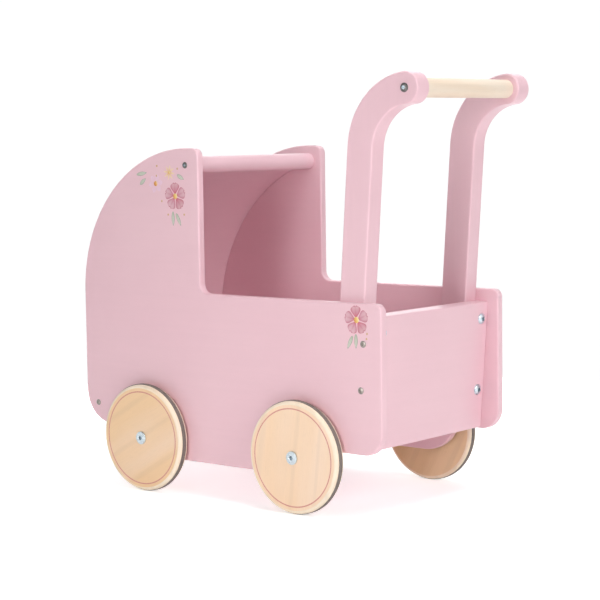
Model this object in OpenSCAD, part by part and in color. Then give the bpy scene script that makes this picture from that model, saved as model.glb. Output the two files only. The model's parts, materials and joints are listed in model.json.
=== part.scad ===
// Wooden doll stroller: two side panels with a quarter-round hood, a tub, a raised
// push handle on two bent arms and four wheels that turn freely on bolts.
// +X is one side panel, +Y points to the handle, +Z is up, and the ground is z = 0.

/* [Overall] */
// Length from the front of the hood to the end of the handle arms
overall_len = 499; // [490:1:510]
// Height of the handle arms above the ground
overall_h = 486.4; // [470:0.1:510]
// Clear width between the two side panels
inside_w = 215; // [180:1:260]

/* [Side panels] */
// Thickness of a side panel
panel_t = 10; // [9:0.5:14]
// Length of the tub, from the front edge to the rear edge
tub_len = 455.5; // [452:0.5:462]
// Height of the tub's top edge
tub_top = 238.7; // [230:0.1:250]
// Height of the panel's lower edge in front of and behind the wheels
under_z = 73; // [70:0.5:76]
// Radius of the corner between the tub's top edge and rear edge
rear_top_r = 9; // [5:0.5:15]
// Radius of the corner between the rear edge and the lower edge
rear_low_r = 25; // [15:1:35]
// Radius of the corner between the front edge and the lower edge
front_low_r = 40; // [30:1:45]

/* [Hood] */
// Height of the top of the hood
hood_top = 407; // [400:0.5:415]
// Radius of the hood's outline
hood_r = 172.5; // [168:0.5:176]
// Length of the hood, from the front edge to the opening
hood_len = 192.5; // [186:0.5:198]
// Radius of the hood's upper corner at the opening
hood_corner_r = 10; // [6:0.5:14]
// Radius of the inner corner where the opening meets the tub's top edge
hood_fillet_r = 12; // [6:0.5:18]
// Thickness of the bent sheet that closes the hood and the front
sheet_t = 3; // [2:0.5:4]
// Radius of the bend in the middle of the sheet
sheet_r = 207; // [204:0.5:210]
// Distance of the sheet and of both cross dowels from the panel's outline
inset = 20; // [18:0.5:22]
// Diameter of the hood dowel and of the front rail
dowel_d = 20; // [16:0.5:24]
// Height of the front rail
rail_z = 97.5; // [95:0.5:100]

/* [Wheels] */
// Diameter over the rubber band
wheel_d = 128; // [120:1:130]
// Thickness of a wheel
wheel_t = 14; // [12:0.5:16]
// Rounding of the wheel's outer edges
wheel_edge_r = 3.9; // [1.5:0.1:3.9]
// Width of the rubber band
band_w = 5.8; // [4:0.1:6]
// How deep the rubber band sits in its groove
band_sunk = 2; // [1:0.25:3]
// How far the rubber band stands proud of the wood
band_proud = 0.8; // [0.4:0.1:1.5]
// Position of the rear axle along the tub
rear_axle_y = 93.5; // [85:0.5:100]
// Distance between the front and rear axles
wheelbase = 233.8; // [225:0.1:240]
// Radius of the rounded lobe of the panel around an axle
lobe_r = 47; // [45:0.5:49]
// Height of the lowest point of the lobes
lobe_z = 40; // [38:0.5:42]
// How far a lobe's centre lies outside its axle
lobe_shift = 6; // [4:0.5:8]

/* [Handle] */
// Thickness of a handle arm, across the stroller
arm_t = 22; // [18:0.5:25]
// Width of a handle arm
arm_w = 34.6; // [30:0.1:38]
// Backward lean of the arms and of the rear panel, in degrees
lean = 4.26; // [2:0.01:6]
// Radius of the bend along the middle of an arm
arm_bend_r = 66.8; // [60:0.1:75]
// Angle at which the bend ends, measured from the horizontal
arm_end_angle = 95.1; // [90:0.1:100]
// Diameter of the handle bar
bar_d = 21; // [18:0.5:25]

/* [Rear and floor] */
// Thickness of the rear panel
rear_t = 17; // [12:0.5:18]
// Height of the rear panel's lower edge
rear_z0 = 76; // [74:0.5:79]
// Height of the rear panel's upper edge
rear_z1 = 224.7; // [210:0.1:236]
// Thickness of the floor panel
floor_t = 6; // [4:0.5:6]
// Height of the floor panel's underside
floor_z = 81; // [80:0.5:81]
// Depth of the grooves that hold the floor panel
floor_groove = 4; // [2:0.5:6]
// Depth of the grooves that hold the hood sheet
sheet_groove = 3; // [2:0.5:5]

/* [Fasteners] */
// Diameter of a wheel bolt's shank
axle_d = 8; // [6:0.5:10]
// Diameter of a wheel bolt's head
axle_head_d = 15; // [14:0.5:17]
// Radial clearance between a wheel bolt and its bush
running_gap = 0.06; // [0.02:0.01:0.1]
// Axial play of a wheel on each side
end_play = 0.3; // [0.2:0.05:0.5]
// Thickness of the spacer between a wheel and its side panel
spacer_t = 2.7; // [1.5:0.1:4]
// Outer diameter of the bush pressed into a wheel
bush_d = 12; // [11:0.5:14]
// Diameter of the bolts that hold the rear panel and the handle bar
bolt_d = 6; // [5:0.5:6]
// Diameter of the wood screws
screw_d = 4; // [3:0.5:4.5]
// How deep the wood screws go into the wood behind the side panels
screw_depth = 28; // [20:1:28]
// How deep a handle bolt goes into the handle bar
bar_bolt_depth = 36; // [25:1:45]
// Diameter of a handle bolt's head
bar_head_d = 10; // [9:0.2:12]
// Diameter of the heads of the rear panel's bolts
rear_head_d = 12.6; // [11:0.2:14]

/* [Hidden] */
$fn = 96;

// Colours of the painted wood, the bare wood, the rubber, the nylon and the zinc.
pink = "#E4BCC5";
bare_wood = "#E8CCA4";
rubber = "#5E554E";
nylon = "#E9E4DA";
zinc = "#BCC8CC";

// How far a rounding circle reaches past the edges it joins, so that they cross cleanly.
blend = 0.03;
// How far a cutting tool reaches past the face it cuts.
past = 1;

// Planes of the side panels.
inner_x = inside_w / 2;
outer_x = inner_x + panel_t;
front_y = -overall_len / 2;
rear_y = front_y + tub_len;
far = 2 * overall_len;

// Outline of the hood.
hood_y = front_y + hood_r;
hood_z = hood_top - hood_r;
hood_edge_y = front_y + hood_len;
hood_corner_y = hood_edge_y - hood_corner_r;
hood_corner_z = hood_z + sqrt(pow(hood_r - hood_corner_r, 2) - pow(hood_corner_y - hood_y, 2));
hood_corner_angle = atan2(hood_corner_z - hood_z, hood_corner_y - hood_y);

// Wheels and the panel's lobes around them.
axle_z = wheel_d / 2;
front_axle_y = rear_axle_y - wheelbase;
rear_lobe_y = rear_axle_y + lobe_shift;
front_lobe_y = front_axle_y - lobe_shift;
lobe_fillet_r = 6;
lobe_fillet_dz = under_z - lobe_fillet_r - lobe_z - lobe_r;
lobe_fillet_dy = sqrt(pow(lobe_r + lobe_fillet_r, 2) - pow(lobe_fillet_dz, 2));
wheel_x0 = outer_x + spacer_t + end_play;
wheel_x1 = wheel_x0 + wheel_t;
axle_head_x = wheel_x1 + end_play;
wood_r = wheel_d / 2 - band_proud;

// Bent sheet and the two dowels that hold it; each dowel has a slot for the sheet's edge.
dowel_raise = 0.3;
slot_depth = 6;
rail_y = front_y + inset;
sheet_y = rail_y + sheet_r;
dowel_y = hood_y;
dowel_z = hood_top - inset + dowel_raise;
sheet_z = dowel_z - sqrt(pow(sheet_r, 2) - pow(sheet_y - dowel_y, 2));
slot_floor = dowel_d / 2 - slot_depth;
sheet_end_angle = atan2(dowel_z - sheet_z, dowel_y - sheet_y) + slot_floor / sheet_r * 180 / PI;

// Bent arms: the straight part leans back and runs into the bend.
arm_x0 = inner_x - arm_t;
arm_end_y = overall_len / 2 - arm_w / 2 - blend;
arm_end_z = overall_h - arm_w / 2 - blend;
bend_y = arm_end_y - arm_bend_r * cos(arm_end_angle);
bend_z = arm_end_z - arm_bend_r * sin(arm_end_angle);
floor_top = floor_z + floor_t;

// Rear panel: its front face lies on the arms' rear edges. The floor runs from it nearly to the sheet.
floor_gap = 2;
function arm_rear_y(z) = bend_y - (arm_bend_r - arm_w / 2) / cos(lean) - (bend_z - z) * tan(lean);
function rear_mid_y(z) = arm_rear_y(z) + rear_t / 2 / cos(lean);
floor_y0 = rail_y + sheet_t / 2 + floor_gap;
floor_y1 = arm_rear_y(floor_z);

// Heights of the screws and bolts that hold the rear panel.
side_screw_z = [194.8, 143.9];
rear_bolt_z = [204.6, 121];
rear_bolt_x = inner_x - arm_t / 2 - 1.5;
rear_bolt_len = rear_t + arm_w / 2 + bolt_d;
barrel_d = 10;
barrel_len = 15;
barrel_inset = 3;

// Heads of the fasteners: heights, and diameters of the three kinds of wood screw.
axle_head_h = 2.4;
rear_head_h = 3.2;
bar_head_h = 2.6;
screw_head_h = 1.6;
dowel_head_d = 7.4;
rail_head_d = 7;
side_head_d = 7.6;

// Spacer, washer and lock nut of a wheel bolt, and the bolt's end beyond the washer.
spacer_d = 18;
washer_d = 17;
washer_t = 1.5;
nut_h = 7.5;
nut_d = 15;
nut_collar_h = 2;
nut_collar_d = 12.4;
axle_tail = 10.5;

// Plate whose outline is drawn in Y and Z, from x0 to x0 + t.
module plate(x0, t) {
  translate([x0, 0, 0]) rotate([90, 0, 90]) linear_extrude(t) children();
}

// Round bar along X.
module bar(x0, x1, y, z, d) {
  translate([x0, y, z]) rotate([0, 90, 0]) cylinder(d = d, h = x1 - x0);
}

// Turned shape about the Z axis, moved to an axle with its base at x0.
module turned(x0, y, z) {
  translate([x0, y, z]) rotate([0, 90, 0]) rotate_extrude() children();
}

// Wedge with its point at the origin, from angle a0 to angle a1.
module wedge(a0, a1, r) {
  mid = (a0 + a1) / 2;
  polygon([
    [0, 0],
    [r * cos(a0), r * sin(a0)],
    [1.5 * r * cos(mid), 1.5 * r * sin(mid)],
    [r * cos(a1), r * sin(a1)]
  ]);
}

// Square corner at the origin that opens to -x and -y, less the quarter disc inside it.
module spandrel(r) {
  difference() {
    translate([-r, -r]) square(r + past);
    translate([-r, -r]) circle(r);
  }
}

// Concave fillet in the corner at the origin, on its +x and +y side.
module fillet(r) {
  difference() {
    translate([-past, -past]) square(r + past);
    translate([r, r]) circle(r);
  }
}

// Lobe below the tub around one axle at y, with a fillet on its outer side: +y, or -y if mirrored.
module lobe(y, mirrored) {
  translate([y, lobe_z + lobe_r]) mirror([mirrored, 0]) {
    circle(lobe_r);
    difference() {
      polygon([
        [0, 0],
        [lobe_fillet_dy, lobe_fillet_dz],
        [lobe_fillet_dy, lobe_fillet_dz + lobe_fillet_r + past]
      ]);
      translate([lobe_fillet_dy, lobe_fillet_dz]) circle(lobe_fillet_r + blend);
    }
  }
}

module tub_outline() {
  difference() {
    union() {
      translate([front_y, under_z]) square([tub_len, hood_z - under_z]);
      translate([hood_edge_y - past, hood_z - past])
        square([rear_y - hood_edge_y + past, tub_top - hood_z + past]);
    }
    translate([rear_y, tub_top]) spandrel(rear_top_r);
    translate([rear_y, under_z]) mirror([0, 1]) spandrel(rear_low_r);
    translate([front_y, under_z]) rotate(180) spandrel(front_low_r);
  }
  translate([front_lobe_y, lobe_z]) square([rear_lobe_y - front_lobe_y, under_z - lobe_z + past]);
  lobe(rear_lobe_y, 0);
  lobe(front_lobe_y, 1);
}

module hood_outline() {
  difference() {
    intersection() {
      translate([hood_y, hood_z]) circle(hood_r);
      translate([front_y, hood_z]) square([hood_len, hood_r]);
    }
    translate([hood_corner_y, hood_corner_z]) wedge(0, hood_corner_angle, 2 * hood_corner_r);
  }
  translate([hood_corner_y, hood_corner_z]) circle(hood_corner_r + blend);
  translate([hood_edge_y, tub_top]) fillet(hood_fillet_r);
}

module sheet_outline() {
  translate([sheet_y, sheet_z]) intersection() {
    difference() {
      circle(sheet_r + sheet_t / 2);
      circle(sheet_r - sheet_t / 2);
    }
    wedge(sheet_end_angle, 180, 1.5 * sheet_r);
  }
  translate([rail_y - sheet_t / 2, rail_z + slot_floor])
    square([sheet_t, sheet_z - rail_z - slot_floor]);
}

module arm_outline() {
  inner_r = arm_bend_r - arm_w / 2;
  outer_r = arm_bend_r + arm_w / 2;
  end_angle = arm_end_angle + lean;
  difference() {
    translate([bend_y, bend_z]) rotate(-lean) {
      difference() {
        union() {
          circle(outer_r);
          translate([-outer_r, -far]) square([outer_r, far]);
        }
        circle(inner_r);
        translate([-inner_r, -far]) square([2 * far, far]);
        polygon([[0, 0], [far, 0], [far, far], [far * cos(end_angle), far * sin(end_angle)]]);
      }
      rotate(end_angle) translate([arm_bend_r, 0]) circle(arm_w / 2 + blend);
    }
    translate([-far, -far]) square([2 * far, far + floor_top]);
  }
}

// Dome-headed fastener along +Z: its head stands on z = 0 and its shank points to -Z.
module dome_fastener(head_d, head_h, shank_d, shank_len) {
  rim_h = 0.35 * head_h;
  dome_h = head_h - rim_h;
  dome_r = (head_d * head_d / 4 + dome_h * dome_h) / (2 * dome_h);
  difference() {
    intersection() {
      cylinder(d = head_d, h = head_h);
      translate([0, 0, head_h - dome_r]) sphere(dome_r);
    }
    translate([0, 0, 0.45 * head_h]) cylinder(d = 0.42 * head_d, h = head_h, $fn = 6);
  }
  translate([0, 0, -shank_len]) cylinder(d = shank_d, h = shank_len + 0.1);
}

// Places a fastener's head on the outer side at x, on both sides of the stroller.
module on_both_sides(x, y, z) {
  for (side = [0, 1])
    mirror([side, 0, 0]) translate([x, y, z]) rotate([0, 90, 0]) children();
}

// Runs its children once for each of the four wheels, at the axle on the outer panel face.
module at_axles() {
  for (y = [front_axle_y, rear_axle_y])
    on_both_sides(outer_x, y, axle_z) children();
}

// Places its children on the rear panel's rear face, pointing out of it.
module at_rear_bolts() {
  for (z = rear_bolt_z)
    for (side = [-1, 1])
      translate([side * rear_bolt_x, arm_rear_y(z) + rear_t / cos(lean), z])
        rotate([-90 - lean, 0, 0])
          children();
}

// Bores for the rear panel's bolts, from the rear face into the arms.
module rear_bolt_bores() {
  at_rear_bolts() translate([0, 0, -rear_bolt_len]) cylinder(d = bolt_d, h = 2 * arm_w);
}

module side_panel_left() {
  color(pink) difference() {
    plate(inner_x, panel_t) {
      tub_outline();
      hood_outline();
    }
    plate(inner_x - past, sheet_groove + past) sheet_outline();
    plate(inner_x - past, floor_groove + past)
      translate([floor_y0, floor_z]) square([floor_y1 - floor_y0, floor_t]);
    for (y = [front_axle_y, rear_axle_y])
      bar(inner_x - past, outer_x + past, y, axle_z, axle_d);
    bar(inner_x - past, outer_x + past, dowel_y, dowel_z, screw_d);
    bar(inner_x - past, outer_x + past, rail_y, rail_z, screw_d);
    for (z = side_screw_z)
      bar(inner_x - past, outer_x + past, rear_mid_y(z), z, screw_d);
  }
}

module side_panel_right() {
  mirror([1, 0, 0]) side_panel_left();
}

module hood_sheet() {
  sheet_w = inside_w + 2 * sheet_groove;
  color(pink) plate(-sheet_w / 2, sheet_w) sheet_outline();
}

// Bore for a wood screw, in both ends of a piece between the side panels.
module screw_bores(y, z) {
  on_both_sides(inner_x, y, z)
    translate([0, 0, -screw_depth]) cylinder(d = screw_d, h = screw_depth + past);
}

// Cross dowel with a slot for the sheet's edge and a screw bore in each end.
module slotted_dowel(y, z) {
  color(pink) difference() {
    bar(-inner_x, inner_x, y, z, dowel_d);
    plate(-inner_x - past, inside_w + 2 * past) sheet_outline();
    screw_bores(y, z);
  }
}

module hood_dowel() {
  slotted_dowel(dowel_y, dowel_z);
}

module front_rail() {
  slotted_dowel(rail_y, rail_z);
}

module rear_panel() {
  color(pink) difference() {
    translate([0, arm_rear_y(rear_z0), rear_z0])
      rotate([-lean, 0, 0])
        translate([-inner_x, 0, 0])
          cube([inside_w, rear_t, (rear_z1 - rear_z0) / cos(lean)]);
    rear_bolt_bores();
    for (z = side_screw_z)
      screw_bores(rear_mid_y(z), z);
  }
}

module floor_panel() {
  floor_w = inside_w + 2 * floor_groove;
  color(pink) plate(-floor_w / 2, floor_w)
    translate([floor_y0, floor_z]) square([floor_y1 - floor_y0, floor_t]);
}

module handle_arm_left() {
  color(pink) difference() {
    plate(arm_x0, arm_t) arm_outline();
    bar(arm_x0 - past, inner_x + past, arm_end_y, arm_end_z, bolt_d);
    rear_bolt_bores();
    barrel_bores();
  }
}

module handle_arm_right() {
  mirror([1, 0, 0]) handle_arm_left();
}

// Places its children at each barrel nut's open end, on the arm's outer side.
module at_barrel_nuts() {
  for (z = rear_bolt_z)
    on_both_sides(
      inner_x,
      arm_rear_y(z) - arm_w / 2 * cos(lean),
      z + (rear_t + arm_w / 2) * sin(lean)
    ) translate([0, 0, -barrel_len - barrel_inset]) children();
}

module barrel_bores() {
  at_barrel_nuts() cylinder(d = barrel_d, h = barrel_len + barrel_inset + past);
}

module handle_bar() {
  color(bare_wood) difference() {
    bar(-arm_x0, arm_x0, arm_end_y, arm_end_z, bar_d);
    on_both_sides(arm_x0, arm_end_y, arm_end_z)
      translate([0, 0, -bar_bolt_depth]) cylinder(d = bolt_d, h = bar_bolt_depth + past);
  }
}

// Half section of a wheel's wood, with its axle along y in the section.
module wheel_section() {
  difference() {
    translate([bush_d / 2, 0]) square([wood_r - bush_d / 2, wheel_t]);
    translate([wood_r, wheel_t]) spandrel(wheel_edge_r);
    translate([wood_r, 0]) mirror([0, 1]) spandrel(wheel_edge_r);
    translate([wood_r - band_sunk, (wheel_t - band_w) / 2]) square([band_sunk + past, band_w]);
  }
}

module wheel_disc(y) {
  color(bare_wood) turned(wheel_x0, y, axle_z) wheel_section();
}

module tread_band(y) {
  color(rubber) turned(wheel_x0, y, axle_z)
    translate([wood_r - band_sunk, (wheel_t - band_w) / 2]) square([band_sunk + band_proud, band_w]);
}

module hub_bush(y) {
  bore_r = axle_d / 2 + running_gap;
  color(nylon) turned(wheel_x0, y, axle_z)
    translate([bore_r, 0]) square([bush_d / 2 - bore_r, wheel_t]);
}

module axle_bolts() {
  shank_len = axle_head_x - inner_x + axle_tail;
  color(zinc) at_axles() translate([0, 0, axle_head_x - outer_x])
    dome_fastener(axle_head_d, axle_head_h, axle_d, shank_len);
}

// Flat disc on z = 0 with a bore for a wheel bolt.
module bored_disc(d, t) {
  difference() {
    cylinder(d = d, h = t);
    translate([0, 0, -past]) cylinder(d = axle_d, h = t + 2 * past);
  }
}

module wheel_spacers() {
  color(zinc) at_axles() bored_disc(spacer_d, spacer_t);
}

module axle_washers() {
  color(zinc) at_axles() translate([0, 0, -panel_t - washer_t]) bored_disc(washer_d, washer_t);
}

module axle_lock_nuts() {
  color(zinc) at_axles() translate([0, 0, -panel_t - washer_t - nut_h]) difference() {
    union() {
      translate([0, 0, nut_collar_h]) cylinder(d = nut_d, h = nut_h - nut_collar_h, $fn = 6);
      cylinder(d = nut_collar_d, h = nut_collar_h + past);
    }
    translate([0, 0, -past]) cylinder(d = axle_d, h = nut_h + 2 * past);
  }
}

module hood_dowel_screws() {
  color(zinc) on_both_sides(outer_x, dowel_y, dowel_z)
    dome_fastener(dowel_head_d, screw_head_h, screw_d, panel_t + screw_depth);
}

module front_rail_screws() {
  color(zinc) on_both_sides(outer_x, rail_y, rail_z)
    dome_fastener(rail_head_d, screw_head_h, screw_d, panel_t + screw_depth);
}

module rear_panel_side_screws() {
  color(zinc) for (z = side_screw_z)
    on_both_sides(outer_x, rear_mid_y(z), z)
      dome_fastener(side_head_d, screw_head_h, screw_d, panel_t + screw_depth);
}

module rear_panel_bolts() {
  color(zinc) at_rear_bolts() dome_fastener(rear_head_d, rear_head_h, bolt_d, rear_bolt_len);
}

module arm_barrel_nuts() {
  color(zinc) difference() {
    at_barrel_nuts() cylinder(d = barrel_d, h = barrel_len);
    rear_bolt_bores();
  }
}

module handle_bar_bolts() {
  color(zinc) on_both_sides(inner_x, arm_end_y, arm_end_z)
    dome_fastener(bar_head_d, bar_head_h, bolt_d, arm_t + bar_bolt_depth);
}

side_panel_left();
side_panel_right();
hood_sheet();
hood_dowel();
front_rail();
rear_panel();
floor_panel();
handle_arm_left();
handle_arm_right();
handle_bar();
wheel_disc(front_axle_y);  // wheel_disc_front_left
mirror([1, 0, 0]) wheel_disc(front_axle_y);  // wheel_disc_front_right
wheel_disc(rear_axle_y);  // wheel_disc_rear_left
mirror([1, 0, 0]) wheel_disc(rear_axle_y);  // wheel_disc_rear_right
tread_band(front_axle_y);  // tread_band_front_left
mirror([1, 0, 0]) tread_band(front_axle_y);  // tread_band_front_right
tread_band(rear_axle_y);  // tread_band_rear_left
mirror([1, 0, 0]) tread_band(rear_axle_y);  // tread_band_rear_right
hub_bush(front_axle_y);  // hub_bush_front_left
mirror([1, 0, 0]) hub_bush(front_axle_y);  // hub_bush_front_right
hub_bush(rear_axle_y);  // hub_bush_rear_left
mirror([1, 0, 0]) hub_bush(rear_axle_y);  // hub_bush_rear_right
axle_bolts();
wheel_spacers();
axle_washers();
axle_lock_nuts();
hood_dowel_screws();
front_rail_screws();
rear_panel_side_screws();
rear_panel_bolts();
arm_barrel_nuts();
handle_bar_bolts();
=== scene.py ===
"""Looks of the wooden doll stroller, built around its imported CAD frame.

Everything is in metres in the row frame: +X is the left side panel, +Y points to the
push handle and the ground is z = 0. Wooden pieces are rebuilt with rounded edges and
their real bores and grooves, and fasteners with their real heads and sockets.
"""
import json
from math import acos, atan2, ceil, cos, degrees, dist, exp, pi, radians, sin, sqrt, tan

import bmesh
import bpy
import numpy as np
from mathutils import Matrix, Vector


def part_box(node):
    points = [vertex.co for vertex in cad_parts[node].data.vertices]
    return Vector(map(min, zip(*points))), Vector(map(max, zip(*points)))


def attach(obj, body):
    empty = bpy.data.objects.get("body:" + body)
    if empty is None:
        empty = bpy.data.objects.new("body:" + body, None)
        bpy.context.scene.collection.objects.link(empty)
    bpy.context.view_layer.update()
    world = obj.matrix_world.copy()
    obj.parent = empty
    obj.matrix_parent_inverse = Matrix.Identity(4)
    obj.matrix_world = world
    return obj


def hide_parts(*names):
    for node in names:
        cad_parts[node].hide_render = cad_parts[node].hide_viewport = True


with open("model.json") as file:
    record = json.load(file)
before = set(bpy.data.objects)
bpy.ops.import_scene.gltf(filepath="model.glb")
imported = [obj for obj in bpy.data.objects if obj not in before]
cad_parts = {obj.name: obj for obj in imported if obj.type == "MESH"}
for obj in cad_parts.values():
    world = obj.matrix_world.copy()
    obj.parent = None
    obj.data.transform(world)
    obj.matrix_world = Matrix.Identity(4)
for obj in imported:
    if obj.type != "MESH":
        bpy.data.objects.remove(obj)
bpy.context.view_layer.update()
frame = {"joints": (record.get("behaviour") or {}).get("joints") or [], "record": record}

MM = 0.001

# Places and sizes that the frame gives.
panel_lo, panel_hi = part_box("side_panel_left")
inner_x, outer_x = panel_lo.x, panel_hi.x
front_y, rear_y = panel_lo.y, panel_hi.y
lobe_z, hood_top = panel_lo.z, panel_hi.z
mounts = {m["name"]: m for m in frame["record"]["mounts"]}
tub_top = mounts["rim_left"]["pos_m"][2]
bar_at = Vector(mounts["handle_grip"]["pos_m"])
axles = {j["name"].replace("_wheel_spin", ""): Vector(j["pos_m"]) for j in frame["joints"]}
front_axle_y, rear_axle_y = axles["front_left"].y, axles["rear_left"].y
axle_z = axles["front_left"].z


def middle(node):
    lo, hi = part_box(node)
    return (lo + hi) / 2


dowel_y, dowel_z = middle("hood_dowel").yz
rail_y, rail_z = middle("front_rail").yz
floor_lo, floor_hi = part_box("floor_panel")
sheet_lo, sheet_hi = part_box("hood_sheet")
arm_lo, arm_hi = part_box("handle_arm_left")
rear_lo, rear_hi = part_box("rear_panel")
bar_lo, bar_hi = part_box("handle_bar")
disc_lo, disc_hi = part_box("wheel_disc_front_left")
band_lo, band_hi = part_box("tread_band_front_left")
disc_t, disc_r = disc_hi.x - disc_lo.x, (disc_hi.z - disc_lo.z) / 2
band_x0, band_x1 = band_lo.x - disc_lo.x, band_hi.x - disc_lo.x
band_r = (band_hi.z - band_lo.z) / 2

# Outline of the side panels.
UNDER_Z = 73 * MM
HOOD_R = 172.5 * MM
HOOD_LEN = 192.5 * MM
HOOD_CORNER_R = 10 * MM
HOOD_FILLET_R = 12 * MM
REAR_TOP_R = 9 * MM
REAR_LOW_R = 25 * MM
FRONT_LOW_R = 40 * MM
LOBE_R = 47 * MM
LOBE_SHIFT = 6 * MM
LOBE_FILLET_R = 6 * MM
PANEL_EDGE_R = 1.9 * MM

# Bent sheet and floor, and how deep they sit in the side panels.
SHEET_R = 207 * MM
SHEET_T = 3 * MM
SHEET_GROOVE = 3 * MM
GROOVE_PLAY = 0.4 * MM
DOWEL_R = 10 * MM
DOWEL_SLOT = 6 * MM
DOWEL_EDGE = 0.6 * MM
FLOOR_EDGE_R = 0.8 * MM

# Handle arms and rear panel, which lean back by LEAN.
LEAN = radians(4.26)
ARM_W = 34.6 * MM
ARM_BEND_R = 66.8 * MM
ARM_END_ANGLE = radians(95.1)
ARM_EDGE_R = 1.9 * MM
REAR_T = 17 * MM
REAR_EDGE_R = 1.2 * MM
BAR_EDGE = 0.5 * MM

# Wheels, with the points round each of them and the radii of two loops that keep the outer face flat.
WHEEL_POINTS = 192
WHEEL_EDGE_R = 3.9 * MM
WHEEL_BORE_EDGE = 0.3 * MM
FACE_LOOP_RS = (40 * MM, 22 * MM)
BAND_SUNK = 2 * MM
BAND_EDGE_R = 0.9 * MM
RING_R = 55 * MM
RING_W = 1.3 * MM
RING_DEPTH = 0.12 * MM
RING_SLOPE = 0.1 * MM
# Slot 1 is the painted ring; slot 2 is the paler wood of the rounded edges, which is partly sanded end
# grain and partly a painted highlight on the rounding.
RING_SLOT, EDGE_HIGHLIGHT_SLOT = 1, 2
BUSH_R = 6 * MM
BUSH_BORE_R = 4.06 * MM
BUSH_EDGE = 0.25 * MM
END_PLAY = 0.3 * MM
SPACER_R = 9 * MM
SPACER_T = 2.7 * MM
WASHER_R = 8.5 * MM
WASHER_T = 1.5 * MM
NUT_H = 7.5 * MM
NUT_ACROSS = 13 * MM

# Fasteners: shank and bore diameters, how deep they go in, and where those of the rear panel are.
AXLE_D = 8 * MM
BOLT_D = 6 * MM
SCREW_D = 4 * MM
SCREW_DEPTH = 28 * MM
BAR_BORE = 36 * MM
AXLE_BOLT_PAST = 10.5 * MM
SIDE_SCREW_Z = (194.8 * MM, 143.9 * MM)
REAR_BOLT_Z = (204.6 * MM, 121 * MM)
BARREL_D = 10 * MM
BARREL_LEN = 15 * MM
BARREL_INSET = 3 * MM

# Heads: diameter, height, depth of the recess, and how much of the height is the upright rim.
AXLE_HEAD = (15 * MM, 2.25 * MM, 1.7 * MM, 0.66)
DOWEL_SCREW_HEAD = (7.4 * MM, 1.6 * MM, 0.9 * MM, 0.3)
RAIL_SCREW_HEAD = (7 * MM, 1.6 * MM, 1.1 * MM, 0.3)
SIDE_SCREW_HEAD = (7.6 * MM, 1.6 * MM, 1.1 * MM, 0.3)
REAR_BOLT_HEAD = (12.6 * MM, 3.2 * MM, 2.2 * MM, 0.3)
BAR_BOLT_HEAD = (10 * MM, 2.6 * MM, 1.8 * MM, 0.3)
CROSS = (3.6 * MM, 0.9 * MM)
SCREW_POINTS = 96

# How far cutting tools reach past the wood, and past both faces of a board with through holes.
TOOL_PAST = 1 * MM
THROUGH_PAST = 5 * MM

# Studio: the stroller's middle, the lit floor's radius, the wall, and the glow over the floor.
MIDDLE = (0, 0, 0.25)
FLOOR_REACH = 1.0
WALL_R, WALL_H = 14, 12
VEIL_Z = 0.05 * MM
VEIL_GLOW = 0.3
WHITE = (1, 1, 1, 1)

bend_y = bar_at.y - ARM_BEND_R * cos(ARM_END_ANGLE)
bend_z = bar_at.z - ARM_BEND_R * sin(ARM_END_ANGLE)
hood_edge_y = front_y + HOOD_LEN
rear_bolt_x = (arm_lo.x + inner_x) / 2 - 1.5 * MM
sunk_r = disc_r - BAND_SUNK


def arm_rear_y(z):
    """Y of the arms' rear edge, where the rear panel's front face lies, at a height below the bend."""
    return bend_y - (ARM_BEND_R - ARM_W / 2) / cos(LEAN) - (bend_z - z) * tan(LEAN)


def rear_mid_y(z):
    return arm_rear_y(z) + REAR_T / 2 / cos(LEAN)


# ---------------- outlines in Y and Z


def arc(y, z, r, start, end, sag=0.02 * MM):
    """Points of an arc between two angles in degrees, so close that no chord sags more than sag."""
    step = 2 * degrees(acos(1 - min(0.5, sag / r)))
    count = max(4, ceil(abs(end - start) / step))
    angles = np.radians(np.linspace(start, end, count + 1))
    return [(y + r * cos(a), z + r * sin(a)) for a in angles]


def clean(points, tiny=0.001 * MM):
    """The outline as an array, without points that lie on their neighbour."""
    kept = []
    for p in points:
        if not kept or dist(p, kept[-1]) > tiny:
            kept.append(p)
    if dist(kept[0], kept[-1]) <= tiny:
        kept.pop()
    return np.array(kept)


def inset(outline, distance):
    """The outline moved inwards; it runs counter-clockwise and turns smoothly."""
    ahead = np.roll(outline, -1, 0) - outline
    ahead /= np.linalg.norm(ahead, axis=1)[:, None]
    behind = np.roll(ahead, 1, 0)
    mean = ahead + behind
    mean /= np.linalg.norm(mean, axis=1)[:, None]
    inward = np.stack([-mean[:, 1], mean[:, 0]], 1)
    stretch = np.clip((mean * ahead).sum(1), 0.5, 1)
    return outline + inward * (distance / stretch)[:, None]


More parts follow.
